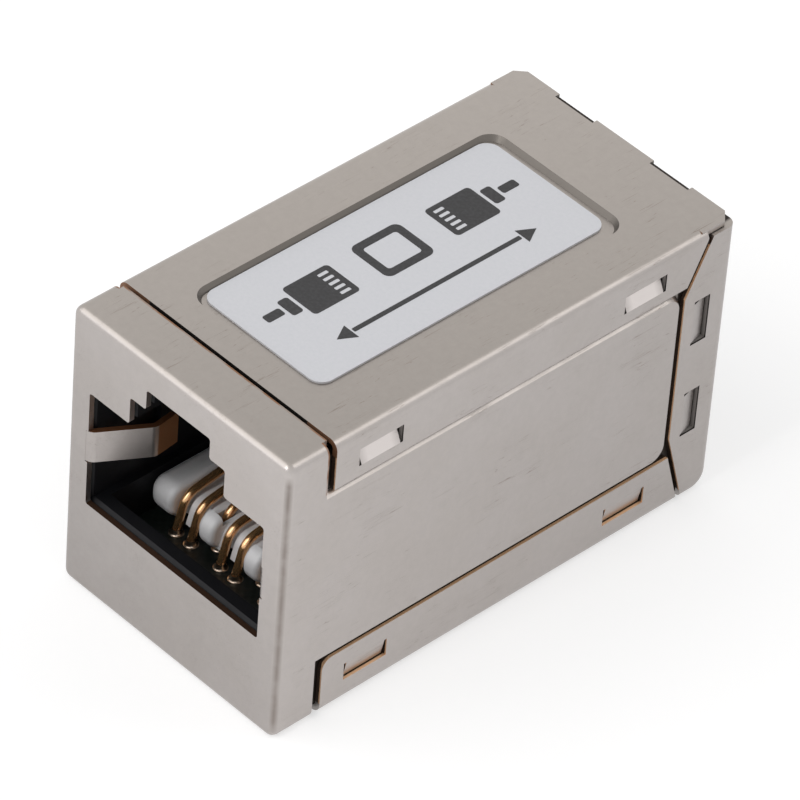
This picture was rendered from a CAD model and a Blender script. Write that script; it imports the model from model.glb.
import math
from functools import cached_property, reduce

import bpy
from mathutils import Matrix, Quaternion, Vector


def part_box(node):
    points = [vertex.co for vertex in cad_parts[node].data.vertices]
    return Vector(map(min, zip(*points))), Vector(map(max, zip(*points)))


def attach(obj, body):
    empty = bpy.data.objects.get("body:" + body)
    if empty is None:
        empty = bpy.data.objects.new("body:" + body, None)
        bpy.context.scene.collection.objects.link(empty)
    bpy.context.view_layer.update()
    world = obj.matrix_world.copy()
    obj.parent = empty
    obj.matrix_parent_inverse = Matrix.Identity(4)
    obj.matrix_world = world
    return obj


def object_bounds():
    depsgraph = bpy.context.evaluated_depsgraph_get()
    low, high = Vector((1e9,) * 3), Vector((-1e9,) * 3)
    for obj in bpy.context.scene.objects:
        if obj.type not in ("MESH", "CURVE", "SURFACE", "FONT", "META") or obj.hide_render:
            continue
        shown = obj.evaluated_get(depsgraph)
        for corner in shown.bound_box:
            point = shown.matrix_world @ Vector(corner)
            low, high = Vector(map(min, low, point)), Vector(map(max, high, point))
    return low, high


# Looks of a shielded inline coupler: nickel-plated stampings with bare cut edges, black
# sockets, white sleds, gilt wires and a printed label. Lengths are in metres unless a
# name says mm; materials work in millimetres of the row frame.

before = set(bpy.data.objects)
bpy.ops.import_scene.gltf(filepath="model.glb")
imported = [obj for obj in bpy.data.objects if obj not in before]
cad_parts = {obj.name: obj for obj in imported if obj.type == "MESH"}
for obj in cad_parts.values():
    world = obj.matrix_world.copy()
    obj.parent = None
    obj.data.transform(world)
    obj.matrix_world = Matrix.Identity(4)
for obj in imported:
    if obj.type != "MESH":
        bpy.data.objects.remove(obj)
CAD_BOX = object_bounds()
LOW, HIGH = CAD_BOX
MM = 0.001
SIDE_MM = HIGH.x / MM
END_MM = HIGH.y / MM
TOP_MM = HIGH.z / MM

# sizes of the shield in mm, as the part's source has them
SHEET_MM = 0.3  # thickness of every stamping
COLLAR_MM = 2.4  # depth of the front shell's collar
LIP_MM = 0.25  # how far its top reaches past its sides
SEAM_MM = 3.0  # from the rear face to the rear shell's edge
MOUTH_HALF_MM = 5.85  # half the width of a socket's mouth
FINGER_APEX_MM = 2.7  # depth of the grounding fingers' contact points
TAB_MIDDLES_MM = (5.6 - END_MM, END_MM - 5.75)  # places of the upper snap tabs along the coupler

# places in mm between the features that the coats tell apart
EDGE_DEPTH_MM = 0.95  # no cut edge of a flange or a tab lies deeper in from the sides
END_ROUND_MM = 0.425  # in from the end faces, where their rounds have ended
FOLD_LOW_MM = 0.625  # height at which the lower folds have ended
FOLD_DROP_MM = 0.775  # and how far below the top the upper ones have
SILL_LOW_MM, SILL_HIGH_MM = 5.35, 7.05  # heights round the sills of the mouths
FINGER_LOW_MM, FINGER_HIGH_MM = 6.05, 11.05  # heights round the grounding fingers
UNDER_ROOF_MM = 14.65  # height just under the roofs of the mouths


# ---- node graphs

ANY = None  # a limit that isn't there


class Nodes:
    """A node tree, with short calls for what these materials and the world use."""

    def __init__(self, tree):
        self.tree = tree

    def add(self, kind, **settings):
        node = self.tree.nodes.new("ShaderNode" + kind)
        for name, setting in settings.items():
            setattr(node, name, setting)
        return node

    def feed(self, socket, source):
        """Links an output to a socket, or sets the socket if the source is a plain value."""
        if isinstance(source, bpy.types.NodeSocket):
            self.tree.links.new(source, socket)
        else:
            socket.default_value = source

    def math(self, operation, first, second=0.0, third=0.0, clamp=False):
        node = self.add("Math", operation=operation, use_clamp=clamp)
        for socket, source in zip(node.inputs, (first, second, third)):
            self.feed(socket, source)
        return node.outputs[0]

    def product(self, *factors):
        """1 where every mask among the factors is 1."""
        return reduce(lambda first, second: self.math("MULTIPLY", first, second), factors)

    def size(self, number):
        """The number without its sign."""
        return self.math("ABSOLUTE", number)

    def vector(self, operation, first, second):
        """A sum or difference of vectors."""
        node = self.add("VectorMath", operation=operation)
        self.feed(node.inputs[0], first)
        self.feed(node.inputs[1], second)
        return node.outputs["Vector"]

    def scaled(self, vector, factor):
        node = self.add("VectorMath", operation="SCALE")
        self.feed(node.inputs[0], vector)
        self.feed(node.inputs["Scale"], factor)
        return node.outputs["Vector"]

    def axes(self, vector):
        """The vector's x, y and z."""
        node = self.add("SeparateXYZ")
        self.feed(node.inputs[0], vector)
        return node.outputs

    def span(self, source, low, high, to_low=0.0, to_high=1.0):
        """Maps low..high to to_low..to_high, and stays within it."""
        node = self.add("MapRange", clamp=True)
        for name, number in (("From Min", low), ("From Max", high),
                             ("To Min", to_low), ("To Max", to_high)):
            node.inputs[name].default_value = number
        self.feed(node.inputs["Value"], source)
        return node.outputs["Result"]

    def blend(self, factor, first, second):
        """From the first colour at factor 0 to the second at 1."""
        node = self.add("Mix", data_type="RGBA")
        self.feed(node.inputs["Factor"], factor)
        for socket, colour in ((node.inputs["A"], first), (node.inputs["B"], second)):
            self.feed(socket, colour if isinstance(colour, bpy.types.NodeSocket) else (*colour, 1))
        return next(out for out in node.outputs if out.type == "RGBA")

    def toward(self, factor, first, second):
        """From the first number at factor 0 to the second at 1."""
        return self.math("MULTIPLY_ADD", factor, self.math("SUBTRACT", second, first), first)


class Graph(Nodes):
    """The node tree of a new material, which knows places on the coupler."""

    def __init__(self, name):
        self.material = bpy.data.materials.new(name)
        self.material.use_nodes = True
        super().__init__(self.material.node_tree)
        self.surface = self.tree.nodes["Principled BSDF"]
        self.place = self.scaled(self.add("TexCoord").outputs["Object"], 1 / MM)

    def stretched(self, scales, turn=(0.0, 0.0, 0.0)):
        """The place in mm, turned and then scaled along each axis."""
        node = self.add("Mapping")
        self.feed(node.inputs["Vector"], self.place)
        node.inputs["Rotation"].default_value = [math.radians(angle) for angle in turn]
        node.inputs["Scale"].default_value = scales
        return node.outputs[0]

    def noise(self, scale, vector=None, detail=2.0, roughness=0.5):
        node = self.add("TexNoise")
        self.feed(node.inputs["Vector"], vector or self.place)
        node.inputs["Scale"].default_value = scale
        node.inputs["Detail"].default_value = detail
        node.inputs["Roughness"].default_value = roughness
        return node.outputs["Fac"]

    def bump(self, height, distance, strength=1.0, under=None):
        node = self.add("Bump")
        node.inputs["Distance"].default_value = distance
        node.inputs["Strength"].default_value = strength
        self.feed(node.inputs["Height"], height)
        if under:
            self.feed(node.inputs["Normal"], under)
        return node.outputs["Normal"]

    @cached_property
    def facing(self):
        """The direction that the surface looks in."""
        return self.axes(self.add("NewGeometry").outputs["Normal"])

    @cached_property
    def measures(self):
        """Where a point is, in mm, and how much it looks sideways, lengthways and upward."""
        x, y, height = self.axes(self.place)
        return {
            "across": self.size(x),
            "inward": self.math("SUBTRACT", SIDE_MM, self.size(x)),
            "from_end": self.math("SUBTRACT", END_MM, self.size(y)),
            "from_front": self.math("ADD", END_MM, y),
            "from_rear": self.math("SUBTRACT", END_MM, y),
            "height": height,
            "drop": self.math("SUBTRACT", TOP_MM, height),
            "sideways": self.size(self.facing[0]),
            "lengthways": self.size(self.facing[1]),
            "upward": self.facing[2],
        }

    def within(self, soft=0.05, **limits):
        """1 where each measure named is between its two limits; soft is how wide a border is."""
        masks = []
        for name, (low, high) in limits.items():
            for limit, outside, inside in ((low, 0.0, 1.0), (high, 1.0, 0.0)):
                if limit is not ANY:
                    masks.append(self.span(self.measures[name], limit - soft / 2, limit + soft / 2,
                                           outside, inside))
        return self.product(*masks)

    def set(self, **sockets):
        """Feeds the surface shader's sockets, named with _ for a space."""
        for name, source in sockets.items():
            self.feed(self.surface.inputs[name.replace("_", " ")], source)


def shown(colour):
    """The linear colour that renders as these 0..255 screen values."""
    return tuple((c / 255 / 12.92 if c <= 10 else ((c / 255 + 0.055) / 1.055) ** 2.4)
                 for c in colour)


# ---- nickel-plated sheet

NICKEL = shown((177, 171, 168))
NICKEL_TOP = shown((168, 161, 155))  # warmer, on faces that look up and in clouds
SCRATCH = shown((118, 103, 92))

# coats over the nickel: colour, how metallic and how rough
CUT_FACE = (shown((72, 58, 48)), 0.5, 0.5)
CUT_RIM = (shown((250, 202, 158)), 0.25, 0.4)
SLIT_EDGE = (shown((140, 102, 76)), 0.5, 0.5)
TAB_FACE = (shown((160, 154, 150)), 0.15, 0.5)
TAB_RIM = (shown((46, 42, 40)), 0.5, 0.5)
SILL_EDGE = (shown((84, 60, 46)), 0.7, 0.45)
FINGER_EDGE = (shown((150, 100, 68)), 0.7, 0.45)
BARE_BRASS = (shown((166, 118, 78)), 0.8, 0.4)
BURNISHED = (shown((214, 207, 204)), 1.0, 0.36)
SEAM_STAIN = (shown((44, 36, 30)), 0.6, 0.5)
MARGIN = (shown((156, 151, 147)), 0.2, 0.5)
FOLD_MARK = (shown((142, 134, 129)), 1.0, 0.34)
POCKET_SHADE = (shown((112, 107, 102)), 1.0, 0.4)

# change of tone per mm, along x, y and z, on faces that look along x, y and z
TONE_SLOPES = ((0, -0.006, 0), (-0.008, 0, -0.014), (-0.008, 0.003, 0))
TONE_MIDDLE_MM = (0, 0, TOP_MM / 2 + 1)  # where those slopes change nothing


def face_tone(graph):
    """Near 1, and changes slowly across each face, as polished sheet does under a soft lamp."""
    slopes = [graph.scaled(slope, part) for slope, part in zip(TONE_SLOPES, graph.facing)]
    slope = reduce(lambda first, second: graph.vector("ADD", first, second), slopes)
    along_slope = graph.add("VectorMath", operation="DOT_PRODUCT")
    graph.feed(along_slope.inputs[0], graph.vector("SUBTRACT", graph.place, TONE_MIDDLE_MM))
    graph.feed(along_slope.inputs[1], slope)
    return graph.math("ADD", along_slope.outputs["Value"], 1.0)


def nickel_colour(graph):
    """Warmer on top, with clouds, slow changes of tone and fine flecks."""
    colour = graph.blend(graph.span(graph.facing[2], 0.6, 0.95), NICKEL, NICKEL_TOP)
    cloud = graph.span(graph.noise(0.25, detail=3.0), 0.35, 0.65, 0.0, 0.25)
    colour = graph.blend(cloud, colour, NICKEL_TOP)
    fleck = graph.span(graph.noise(2.2, detail=5.0, roughness=0.7), 0.3, 0.7, -0.03, 0.03)
    return graph.scaled(colour, graph.math("ADD", face_tone(graph), fleck))


def hairlines(graph, turn, patchiness):
    """Sparse fine lines, turned by these degrees: where stretched noise crosses its middle."""
    line = graph.noise(1.0, graph.stretched((4.0, 0.1, 4.0), turn))
    near_middle = graph.size(graph.math("SUBTRACT", line, 0.5))
    hair = graph.span(near_middle, 0.0, 0.005, 1.0, 0.0)
    return graph.product(hair, graph.span(graph.noise(patchiness), 0.52, 0.6))


def sheet_metal(name, *coats):
    """Nickel-plated sheet; each coat is a mask, as a function of the graph, and its looks."""
    graph = Graph(name)
    scratches = graph.math("MAXIMUM", hairlines(graph, (0, 0, 58), 0.3),
                           hairlines(graph, (18, 8, -30), 0.4))
    colour = graph.blend(graph.math("MULTIPLY", scratches, 0.6), nickel_colour(graph), SCRATCH)
    metallic = 1.0
    roughness = graph.span(graph.noise(0.8, detail=4.0), 0.3, 0.7, 0.3, 0.36)
    for where, (paint, metal, rough) in coats:
        mask = where(graph)
        colour = graph.blend(mask, colour, paint)
        metallic = graph.toward(mask, metallic, metal)
        roughness = graph.toward(mask, roughness, rough)
    waves = graph.bump(graph.noise(0.18, detail=1.0), 0.5 * MM, 0.2)
    grain = graph.noise(1.0, graph.stretched((24.0, 3.0, 24.0)), detail=3.0)
    normal = graph.bump(grain, 0.003 * MM, 0.5, waves)
    normal = graph.bump(scratches, -0.006 * MM, 0.6, normal)
    graph.set(Base_Color=colour, Metallic=metallic, Roughness=roughness, Normal=normal)
    return graph.material


# ---- where the coats go

def edge_of_side_sheet(graph):
    """1 where a face of a side flange or its tabs looks along the sheet, as a cut edge does."""
    return graph.within(sideways=(ANY, 0.35), inward=(ANY, EDGE_DEPTH_MM),
                        from_end=(END_ROUND_MM, ANY), height=(FOLD_LOW_MM, ANY),
                        drop=(FOLD_DROP_MM, ANY))


def rim_of_side_sheet(graph):
    """1 on the outermost part of those cut edges, where the plating ends, wider if they look up."""
    rim = graph.span(graph.measures["upward"], 0.3, 0.6, 0.08, 0.15)
    return graph.product(edge_of_side_sheet(graph),
                         graph.math("LESS_THAN", graph.measures["inward"], rim))


def face_at_tabs(graph):
    """1 on the cut edges round the upper and the rear snap tabs."""
    upper = graph.within(from_end=(3.325, ANY), drop=(ANY, 4.35))
    rear = graph.within(from_end=(ANY, 2.725), height=(3.95, ANY), drop=(3.55, ANY))
    return graph.product(edge_of_side_sheet(graph), graph.math("MAXIMUM", upper, rear))


def rim_at_tabs(graph):
    """1 on the outermost part of the cut edges round those tabs."""
    return graph.product(face_at_tabs(graph), graph.within(inward=(ANY, 0.08)))


def edge_of_top_sheet(graph):
    """1 on the cut edges that look along the coupler near its top, as at the collar's slit."""
    return graph.within(lengthways=(0.85, ANY), drop=(ANY, 0.85), from_end=(ANY, 3.15))


def collar_rim(graph):
    """1 on the last of the collar's top and sides, in patches where the plating is thin."""
    lip = graph.within(soft=0.01, drop=(ANY, 0.025), inward=(0.51, ANY))
    collar_end = graph.math("MULTIPLY_ADD", lip, LIP_MM, COLLAR_MM)
    short_of_end = graph.math("SUBTRACT", collar_end, graph.measures["from_front"])
    worn = graph.span(graph.noise(0.9), 0.42, 0.56, 0.3, 1.0)
    return graph.product(worn, graph.span(short_of_end, 0.06, 0.1, 1.0, 0.0),
                         graph.span(short_of_end, -0.02, -0.01), graph.within(drop=(ANY, 2.75)))


def upright_folds(graph):
    """Rises to 1 along the middle of the front's two upright folds, where the die has marked it."""
    slanted = graph.math("MINIMUM", graph.measures["sideways"], graph.measures["lengthways"])
    return graph.product(graph.span(slanted, 0.2, 0.68),
                         graph.span(graph.noise(1.0), 0.3, 0.6, 0.6, 1.0),
                         graph.within(inward=(ANY, 0.75), from_front=(ANY, 0.85)),
                         graph.within(soft=0.7, height=(0.65, ANY)),
                         graph.within(soft=0.6, drop=(0.8, ANY)))


def under_the_flanges(graph):
    """1 on the stepped-in margins of the side panels, which show only through the seams."""
    return graph.within(soft=0.02, inward=(SHEET_MM + 0.01, 0.725),
                        from_front=(COLLAR_MM + 0.025, ANY), drop=(0.55, ANY))


def beside_the_seam(graph):
    """1 on the margin behind each side panel, short of the rear shell's edge."""
    return graph.product(under_the_flanges(graph),
                         graph.within(from_rear=(SEAM_MM + 0.175, SEAM_MM + 1.55),
                                      height=(4.6, ANY), drop=(2.85, ANY)))


def lower_step(graph):
    """1 on the step under the raised side panels, where polish residue has darkened it."""
    return graph.within(upward=(ANY, -0.325), inward=(ANY, 0.425), height=(2.65, 4.45))


def finger_tails(graph):
    """1 on the grounding fingers past their contact points, where the plating has worn."""
    return graph.within(soft=0.1, across=(ANY, MOUTH_HALF_MM - 0.125),
                        height=(FINGER_LOW_MM, FINGER_HIGH_MM), from_end=(FINGER_APEX_MM + 0.1, ANY))


def pocket_walls(graph):
    """1 on the sloped walls of the label's pocket."""
    return graph.within(upward=(ANY, 0.925), across=(ANY, 5.25), drop=(ANY, 0.35))


def pressed_tabs(graph):
    """Rises to 1 on the middle of the upper snap tabs, which plug panels rub bright."""
    y = graph.axes(graph.place)[1]
    from_tabs = [graph.size(graph.math("SUBTRACT", y, middle)) for middle in TAB_MIDDLES_MM]
    nearest = graph.math("MINIMUM", *from_tabs)
    return graph.product(graph.within(upward=(0.225, 0.525), inward=(ANY, 0.575),
                                      drop=(FOLD_DROP_MM, 2.375)),
                         graph.span(nearest, 0.7, 1.25, 1.0, 0.2))


def upward_in_mouths(graph, low, high):
    """1 on upward cut edges inside the mouths, between two heights in mm."""
    return graph.within(upward=(0.725, ANY), across=(ANY, MOUTH_HALF_MM + 0.03),
                        from_end=(ANY, 4.15), height=(low, high))


def sill_edges(graph):
    """1 on the sills of the mouths."""
    return upward_in_mouths(graph, SILL_LOW_MM, SILL_HIGH_MM)


def finger_edges(graph):
    """1 on the tops of the grounding fingers."""
    return upward_in_mouths(graph, SILL_HIGH_MM, UNDER_ROOF_MM)


def under_the_cover(graph):
    """1 on the top of the rear shell, which shows only through the cover's notches."""
    return graph.product(graph.within(upward=(0.45, ANY), drop=(ANY, 0.675)),
                         graph.within(soft=0.15, inward=(0.425, ANY)))


# ---- the other materials

def plastic(name, colour, roughness, shine, speckle=0.08):
    """Moulded plastic with a fine spark-eroded surface."""
    graph = Graph(name)
    fine = graph.noise(9.0, detail=3.0)
    shade = tuple(c * (1 - speckle) for c in colour)
    graph.set(Base_Color=graph.blend(graph.span(fine, 0.35, 0.65), colour, shade),
              Roughness=graph.span(graph.noise(1.3), 0.3, 0.7, roughness, roughness + 0.1),
              Specular_IOR_Level=shine,
              Normal=graph.bump(fine, 0.01 * MM, 0.4))
    return graph.material


def gilt_wire():
    """Gold-plated wire: a satin body under a bright skin."""
    graph = Graph("gilt_wire")
    drawn = graph.noise(1.0, graph.stretched((30.0, 3.0, 6.0)), detail=2.0)
    patch = graph.span(graph.noise(1.1), 0.3, 0.7)
    graph.set(Base_Color=graph.blend(patch, shown((214, 160, 106)), shown((232, 184, 130))),
              Metallic=0.85, Roughness=graph.span(drawn, 0.3, 0.7, 0.2, 0.23),
              Coat_Weight=0.8, Coat_Roughness=0.08, Coat_IOR=1.8)
    return graph.material


def solder():
    """Tinned solder with a gold tint from the plating it has taken up."""
    graph = Graph("solder")
    graph.set(Base_Color=graph.blend(graph.span(graph.noise(2.5), 0.3, 0.7),
                                     shown((206, 176, 146)), shown((226, 208, 190))),
              Metallic=1.0, Roughness=0.3)
    return graph.material


def sticker():
    """Matt coated paper, faintly lavender."""
    graph = Graph("sticker")
    fibre = graph.noise(5.0, detail=5.0, roughness=0.65)
    graph.set(Base_Color=graph.blend(graph.span(fibre, 0.3, 0.7),
                                     shown((207, 208, 212)), shown((213, 213, 217))),
              Roughness=0.5, Normal=graph.bump(fibre, 0.006 * MM, 0.4))
    return graph.material


def printing_ink():
    """Black print, a little thin over the paper's fibres."""
    graph = Graph("printing_ink")
    thin = graph.noise(6.0, detail=4.0)
    graph.set(Base_Color=graph.blend(graph.span(thin, 0.4, 0.75),
                                     shown((34, 33, 34)), shown((52, 51, 53))),
              Roughness=0.45)
    return graph.material


def laminate():
    """Glass-fibre board under black solder mask, with its weave."""
    graph = Graph("laminate")
    radians_per_mm = 12.0
    x, y, _ = graph.axes(graph.place)
    weave = graph.product(*(graph.math("SINE", graph.math("MULTIPLY", number, radians_per_mm))
                            for number in (x, y)))
    graph.set(Base_Color=graph.blend(graph.span(weave, -1.0, 1.0),
                                     shown((17, 22, 20)), shown((26, 32, 29))),
              Roughness=0.4, Normal=graph.bump(weave, 0.02 * MM, 0.3))
    return graph.material


# ---- materials of the CAD nodes

def paint_nodes():
    """Gives every CAD node its material."""
    by_node = {
        "front_shell": sheet_metal("shield_front", (upright_folds, FOLD_MARK), (lower_step, SEAM_STAIN),
                                   (under_the_flanges, SEAM_STAIN), (beside_the_seam, MARGIN),
                                   (finger_tails, BARE_BRASS),
                                   (sill_edges, SILL_EDGE), (finger_edges, FINGER_EDGE),
                                   (collar_rim, SLIT_EDGE)),
        "rear_shell": sheet_metal("shield_rear", (edge_of_side_sheet, CUT_FACE),
                                  (rim_of_side_sheet, CUT_RIM), (face_at_tabs, TAB_FACE),
                                  (rim_at_tabs, TAB_RIM), (finger_tails, BARE_BRASS),
                                  (sill_edges, SILL_EDGE), (finger_edges, FINGER_EDGE),
                                  (under_the_cover, SEAM_STAIN)),
        "top_cover": sheet_metal("shield_top", (edge_of_side_sheet, CUT_FACE),
                                 (rim_of_side_sheet, CUT_RIM), (edge_of_top_sheet, SLIT_EDGE),
                                 (face_at_tabs, TAB_FACE), (rim_at_tabs, TAB_RIM),
                                 (pocket_walls, POCKET_SHADE), (pressed_tabs, BURNISHED)),
        "bottom_cover": sheet_metal("shield_bottom", (edge_of_side_sheet, CUT_FACE),
                                    (rim_of_side_sheet, CUT_RIM)),
        "label": sticker(),
        "circuit_board": laminate(),
    }
    shared = {
        "_housing_": plastic("black_plastic", shown((20, 20, 23)), 0.45, 0.22),
        "_sled_": plastic("white_plastic", shown((240, 239, 240)), 0.3, 0.5, 0.03),
        "_contact_": gilt_wire(),
    }
    for name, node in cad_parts.items():
        material = by_node.get(name) or next(shared[part] for part in shared if part in name + "_")
        for place in node.material_slots:
            place.material = material


# ---- solder round the wires

WIRE_RADIUS = 0.22 * MM
SOLDER_REACH = 1.7 * WIRE_RADIUS  # from the wire's middle to where the solder ends on the board
SOLDER_RISE = 0.3 * MM
SOLDER_RINGS = 8
SOLDER_STEPS = 24


def solder_surface():
    """Corners and faces of a hollow fillet, from the wire down to the board."""
    corners = []
    for ring in range(SOLDER_RINGS, -1, -1):
        slope = math.pi / 2 * ring / SOLDER_RINGS
        radius = SOLDER_REACH - (SOLDER_REACH - WIRE_RADIUS) * math.sin(slope)
        for step in range(SOLDER_STEPS):
            angle = 2 * math.pi * step / SOLDER_STEPS
            corners.append((radius * math.cos(angle), radius * math.sin(angle),
                            SOLDER_RISE * (1 - math.cos(slope))))
    faces = []
    for start in range(0, SOLDER_RINGS * SOLDER_STEPS, SOLDER_STEPS):
        for step in range(SOLDER_STEPS):
            following = (step + 1) % SOLDER_STEPS
            faces.append((start + step, start + SOLDER_STEPS + step,
                          start + SOLDER_STEPS + following, start + following))
    return corners, faces


def solder_wires():
    """A fillet of solder round each wire where it enters the circuit board."""
    metal = solder()
    board_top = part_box("circuit_board")[1].z
    corners, faces = solder_surface()
    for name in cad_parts:
        if "_contact_" not in name or name.endswith("_sled"):
            continue
        low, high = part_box(name)
        foot = low.y + WIRE_RADIUS if high.y < 0 else high.y - WIRE_RADIUS
        mesh = bpy.data.meshes.new("solder_" + name)
        mesh.from_pydata(corners, [], faces)
        mesh.shade_smooth()
        mesh.materials.append(metal)
        fillet = bpy.data.objects.new("solder_" + name, mesh)
        fillet.location = ((low.x + high.x) / 2, foot, board_top)
        bpy.context.scene.collection.objects.link(fillet)
        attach(fillet, "root")


# ---- print on the label

INK_THICK = 0.012 * MM


def arc(centre, radius, start, stop, steps=6):
    """Points of an arc, angles in degrees."""
    angles = [math.radians(start + (stop - start) * i / steps) for i in range(steps + 1)]
    return [(centre[0] + radius * math.cos(a), centre[1] + radius * math.sin(a)) for a in angles]


def rounded(x_low, y_low, x_high, y_high, radius):
    """Outline of a rectangle with rounded corners."""
    return (arc((x_high - radius, y_low + radius), radius, -90, 0)
            + arc((x_high - radius, y_high - radius), radius, 0, 90)
            + arc((x_low + radius, y_high - radius), radius, 90, 180)
            + arc((x_low + radius, y_low + radius), radius, 180, 270))


def plug_sign(way):
    """A plug with its contacts, boot and cable, in mm; way is the side that it points to."""
    body = rounded(-1.5, -1.15, 1.3, 1.15, 0.22)
    contact_pitch, contact_half = 0.38, 0.1
    middles = [contact_pitch * i for i in range(-2, 3)]
    contacts = [rounded(0.4, y - contact_half, 1.0, y + contact_half, 0.06) for y in middles]
    boot = rounded(-2.3, -0.6, -1.68, 0.6, 0.15)
    cable = rounded(-3.5, -0.26, -2.48, 0.26, 0.12)
    return [[(way * x, y) for x, y in outline] for outline in [body, *contacts, boot, cable]]


def coupler_sign():
    """The open frame between the two plugs."""
    return [rounded(-1.5, -1.35, 1.5, 1.35, 0.4), rounded(-1.05, -0.9, 1.05, 0.9, 0.18)]


def arrow_sign(half):
    """A bar with a head at each end, half its length to each side, in mm."""
    head_long, head_half, bar_half, gap = 0.9, 0.5, 0.13, 0.1
    head = [(half, 0), (half - head_long, head_half), (half - head_long, -head_half)]
    bar_end = half - head_long - gap
    bar = rounded(-bar_end, -bar_half, bar_end, bar_half, 0.06)
    return [bar, head, [(-x, y) for x, y in head]]


def print_sign(name, outlines, along, across, ink):
    """Prints outlines in mm, laid out along the label, at a place from the label's middle."""
    low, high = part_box("label")
    curve = bpy.data.curves.new(name, "CURVE")
    curve.dimensions = "2D"
    curve.fill_mode = "BOTH"
    curve.extrude = INK_THICK
    for outline in outlines:
        spline = curve.splines.new("POLY")
        spline.points.add(len(outline) - 1)
        for point, (x, y) in zip(spline.points, outline):
            point.co = (x * MM, y * MM, 0, 1)
        spline.use_cyclic_u = True
    drawn = bpy.data.objects.new(name, curve)
    mesh = bpy.data.meshes.new_from_object(drawn)
    bpy.data.objects.remove(drawn)
    sign = bpy.data.objects.new(name, mesh)
    sign.location = ((low.x + high.x) / 2 + across * MM, (low.y + high.y) / 2 + along * MM, high.z)
    sign.rotation_euler.z = math.radians(90)
    mesh.materials.append(ink)
    bpy.context.scene.collection.objects.link(sign)
    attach(sign, "root")


def print_label():
    """A coupler between two plugs, and an arrow beside them."""
    ink = printing_ink()
    plug_place, row, arrow_row = 4.3, -0.9, 2.1
    print_sign("print_coupler", coupler_sign(), 0, row, ink)
    print_sign("print_front_plug", plug_sign(1), -plug_place, row, ink)
    print_sign("print_rear_plug", plug_sign(-1), plug_place, row, ink)
    print_sign("print_arrow", arrow_sign(6.2), 0, arrow_row, ink)


# ---- floor, light and camera

FLOOR_HALF = 3.0
FLOOR_GLOW = 0.5  # brings the floor to white where it is seen
WORLD_LIGHT = 0.61  # of the world's white, as a light


def seen_directly(graph):
    """1 for rays that show a background: from the camera, in a reflection or through glass."""
    path = graph.add("LightPath")
    total = graph.math("ADD", path.outputs["Is Camera Ray"], path.outputs["Is Glossy Ray"])
    return graph.math("ADD", total, path.outputs["Is Transmission Ray"], clamp=True)


def lay_floor():
    """Pale floor that shows white and keeps the coupler's shadow."""
    half = FLOOR_HALF
    mesh = bpy.data.meshes.new("floor")
    mesh.from_pydata([(-half, -half, 0), (half, -half, 0), (half, half, 0), (-half, half, 0)],
                     [], [(0, 1, 2, 3)])
    floor = bpy.data.objects.new("floor", mesh)
    floor.location.z = LOW.z
    bpy.context.scene.collection.objects.link(floor)
    graph = Graph("floor")
    patch = graph.span(graph.noise(0.02), 0.3, 0.7)
    graph.set(Base_Color=graph.blend(patch, (0.62, 0.62, 0.62), (0.64, 0.64, 0.64)),
              Roughness=0.9, Specular_IOR_Level=0.0, Emission_Color=(1, 1, 1, 1),
              Emission_Strength=graph.math("MULTIPLY", seen_directly(graph), FLOOR_GLOW))
    mesh.materials.append(graph.material)


def light_world():
    """White wherever it is seen, and softer as a light."""
    world = bpy.data.worlds.new("studio")
    bpy.context.scene.world = world
    world.use_nodes = True
    nodes = Nodes(world.node_tree)
    background = nodes.tree.nodes["Background"]
    background.inputs["Color"].default_value = (1, 1, 1, 1)
    strength = nodes.span(seen_directly(nodes), 0.0, 1.0, WORLD_LIGHT, 1.0)
    nodes.feed(background.inputs["Strength"], strength)


def add_softbox(name, place, wide, tall, radiance):
    """A soft lamp that looks at the coupler."""
    lamp = bpy.data.lights.new(name, "AREA")
    lamp.shape = "RECTANGLE"
    lamp.size = wide
    lamp.size_y = tall
    lamp.energy = radiance * math.pi * wide * tall
    box = bpy.data.objects.new(name, lamp)
    box.location = place
    toward_coupler = Vector((0, 0, HIGH.z / 2)) - Vector(place)
    box.rotation_euler = toward_coupler.to_track_quat("-Z", "Y").to_euler()
    bpy.context.scene.collection.objects.link(box)


def light_scene():
    """Bright surroundings, a broad key, a strip that the front mirrors and a light from behind."""
    light_world()
    add_softbox("key_softbox", (-0.30, -0.36, 0.42), 0.6, 0.6, 0.95)
    add_softbox("front_softbox", (0.0, -0.43, 0.42), 0.09, 0.35, 5.5)
    add_softbox("rim_softbox", (0.27, 0.34, 0.455), 0.3, 0.3, 1.2)


# the view that lays the box's corners where the photograph has them
CAMERA_PLACE = Vector((0.16808, -0.17388, 0.21796))
CAMERA_TARGET = Vector((0.000144, -0.000015, 0.008072))
CAMERA_ROLL = math.radians(4.6)
CAMERA_LENS_MM = 312.6


def place_camera():
    """Long lens, seen from the right of the front and above, held a little askew."""
    camera = bpy.data.objects.new("camera", bpy.data.cameras.new("camera"))
    camera.data.lens = CAMERA_LENS_MM
    camera.data.sensor_width = 36.0
    camera.data.clip_start = 0.01
    camera.location = CAMERA_PLACE
    aim = (CAMERA_TARGET - CAMERA_PLACE).to_track_quat("-Z", "Y")
    camera.rotation_mode = "QUATERNION"
    camera.rotation_quaternion = aim @ Quaternion((0, 0, 1), CAMERA_ROLL)
    bpy.context.scene.collection.objects.link(camera)
    bpy.context.scene.camera = camera


paint_nodes()
solder_wires()
print_label()
lay_floor()
light_scene()
place_camera()
bpy.context.scene.view_settings.view_transform = "Standard"
